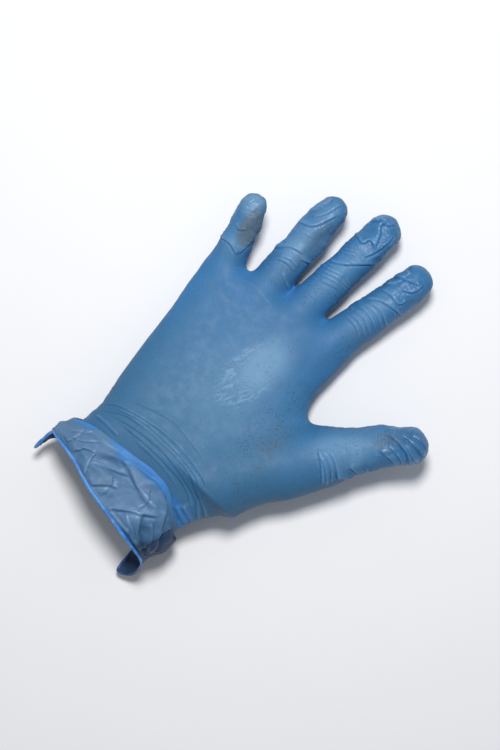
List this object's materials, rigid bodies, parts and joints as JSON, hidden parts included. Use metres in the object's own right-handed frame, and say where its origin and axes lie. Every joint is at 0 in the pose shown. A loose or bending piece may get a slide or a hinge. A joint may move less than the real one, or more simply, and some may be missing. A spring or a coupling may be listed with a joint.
{
  "type": "disposable glove",
  "caption": "Thin dipped disposable glove in blue nitrile, right hand, puffed to the shape of a hand, palm up, with a short loose cuff and a rolled rim.",
  "frame": {"origin": "on the flat of the back of the hand, where the glove rests, under the middle of the palm", "axes": "+Y from the cuff to the fingertips, +X to the thumb, +Z out of the palm"},
  "size_m": [0.1657, 0.238, 0.0456],
  "materials": {
    "hand_film": "thin taut nitrile, satin with a soft sheen, grey-brown work dirt",
    "cuff_film": "thin loose nitrile, slightly see-through, crumpled, a little shinier",
    "rim_bead": "rolled nitrile rim, saturated blue"
  },
  "bodies": {
    "palm": {"palm_and_back": "hand_film", "wrist_fold": "cuff_film", "index_knuckle_fold": "hand_film", "middle_knuckle_fold": "hand_film", "ring_knuckle_fold": "hand_film", "little_knuckle_fold": "hand_film", "thumb_knuckle_fold": "hand_film"},
    "index_lower": {"index_lower_stall": "hand_film", "index_middle_fold": "hand_film"},
    "index_middle": {"index_middle_stall": "hand_film", "index_tip_fold": "hand_film"},
    "index_tip": {"index_stall_tip": "hand_film"},
    "middle_lower": {"middle_lower_stall": "hand_film", "middle_middle_fold": "hand_film"},
    "middle_middle": {"middle_middle_stall": "hand_film", "middle_tip_fold": "hand_film"},
    "middle_tip": {"middle_stall_tip": "hand_film"},
    "ring_lower": {"ring_lower_stall": "hand_film", "ring_middle_fold": "hand_film"},
    "ring_middle": {"ring_middle_stall": "hand_film", "ring_tip_fold": "hand_film"},
    "ring_tip": {"ring_stall_tip": "hand_film"},
    "little_lower": {"little_lower_stall": "hand_film", "little_middle_fold": "hand_film"},
    "little_middle": {"little_middle_stall": "hand_film", "little_tip_fold": "hand_film"},
    "little_tip": {"little_stall_tip": "hand_film"},
    "thumb_lower": {"thumb_lower_stall": "hand_film", "thumb_tip_fold": "hand_film"},
    "thumb_tip": {"thumb_stall_tip": "hand_film"},
    "cuff": {"cuff": "cuff_film", "cuff_bead": "rim_bead"}
  },
  "joints": [
    {"name": "index_knuckle_bend", "type": "hinge", "parent": "palm", "child": "index_lower", "pos_m": [0.02605, 0.07225, 0.01886], "axis": [0.9863, -0.165, 0], "range_deg": [-10, 70], "stiffness_Nm_per_rad": 0.004, "deforming": ["index_knuckle_fold"]},
    {"name": "index_middle_bend", "type": "hinge", "parent": "index_lower", "child": "index_middle", "pos_m": [0.02869, 0.08804, 0.0196], "axis": [0.9863, -0.165, 0], "range_deg": [0, 80], "stiffness_Nm_per_rad": 0.002, "deforming": ["index_middle_fold"]},
    {"name": "index_tip_bend", "type": "hinge", "parent": "index_middle", "child": "index_tip", "pos_m": [0.03132, 0.10379, 0.02071], "axis": [0.9863, -0.165, 0], "range_deg": [0, 50], "deforming": ["index_tip_fold"]},
    {"name": "middle_knuckle_bend", "type": "hinge", "parent": "palm", "child": "middle_lower", "pos_m": [0.00022, 0.06945, 0.01874], "axis": [0.9996, -0.0297, 0], "range_deg": [-10, 70], "stiffness_Nm_per_rad": 0.004, "deforming": ["middle_knuckle_fold"]},
    {"name": "middle_middle_bend", "type": "hinge", "parent": "middle_lower", "child": "middle_middle", "pos_m": [0.00078, 0.08843, 0.01975], "axis": [0.9996, -0.0297, 0], "range_deg": [0, 80], "stiffness_Nm_per_rad": 0.002, "deforming": ["middle_middle_fold"]},
    {"name": "middle_tip_bend", "type": "hinge", "parent": "middle_middle", "child": "middle_tip", "pos_m": [0.00135, 0.1074, 0.02084], "axis": [0.9996, -0.0297, 0], "range_deg": [0, 50], "deforming": ["middle_tip_fold"]},
    {"name": "ring_knuckle_bend", "type": "hinge", "parent": "palm", "child": "ring_lower", "pos_m": [-0.02301, 0.06235, 0.01859], "axis": [0.9976, 0.0698, 0], "range_deg": [-10, 70], "stiffness_Nm_per_rad": 0.004, "deforming": ["ring_knuckle_fold"]},
    {"name": "ring_middle_bend", "type": "hinge", "parent": "ring_lower", "child": "ring_middle", "pos_m": [-0.0242, 0.07929, 0.01972], "axis": [0.9976, 0.0698, 0], "range_deg": [0, 80], "stiffness_Nm_per_rad": 0.002, "deforming": ["ring_middle_fold"]},
    {"name": "ring_tip_bend", "type": "hinge", "parent": "ring_middle", "child": "ring_tip", "pos_m": [-0.02538, 0.09621, 0.02093], "axis": [0.9976, 0.0698, 0], "range_deg": [0, 50], "deforming": ["ring_tip_fold"]},
    {"name": "little_knuckle_bend", "type": "hinge", "parent": "palm", "child": "little_lower", "pos_m": [-0.04672, 0.05133, 0.01842], "axis": [0.9455, 0.3256, 0], "range_deg": [-10, 70], "stiffness_Nm_per_rad": 0.004, "deforming": ["little_knuckle_fold"]},
    {"name": "little_middle_bend", "type": "hinge", "parent": "little_lower", "child": "little_middle", "pos_m": [-0.05066, 0.06277, 0.02172], "axis": [0.9455, 0.3256, 0], "range_deg": [0, 80], "stiffness_Nm_per_rad": 0.002, "deforming": ["little_middle_fold"]},
    {"name": "little_tip_bend", "type": "hinge", "parent": "little_middle", "child": "little_tip", "pos_m": [-0.05409, 0.07272, 0.02496], "axis": [0.9455, 0.3256, 0], "range_deg": [0, 50], "deforming": ["little_tip_fold"]},
    {"name": "thumb_knuckle_bend", "type": "hinge", "parent": "palm", "child": "thumb_lower", "pos_m": [0.06271, 0.01837, 0.02608], "axis": [0.467, -0.4467, 0.7631], "range_deg": [-10, 40], "stiffness_Nm_per_rad": 0.004, "deforming": ["thumb_knuckle_fold"]},
    {"name": "thumb_tip_bend", "type": "hinge", "parent": "thumb_lower", "child": "thumb_tip", "pos_m": [0.0793, 0.03836, 0.02762], "axis": [0.467, -0.4467, 0.7631], "range_deg": [0, 60], "stiffness_Nm_per_rad": 0.002, "deforming": ["thumb_tip_fold"]},
    {"name": "wrist_bend", "type": "hinge", "parent": "palm", "child": "cuff", "pos_m": [0, -0.06, 0.0205], "axis": [1, 0, 0], "range_deg": [-40, 40], "stiffness_Nm_per_rad": 0.01, "deforming": ["wrist_fold"]}
  ],
  "couplings": [
    {"joint": "index_tip_bend", "follows": "index_middle_bend", "ratio": 0.625},
    {"joint": "middle_tip_bend", "follows": "middle_middle_bend", "ratio": 0.625},
    {"joint": "ring_tip_bend", "follows": "ring_middle_bend", "ratio": 0.625},
    {"joint": "little_tip_bend", "follows": "little_middle_bend", "ratio": 0.625}
  ]
}
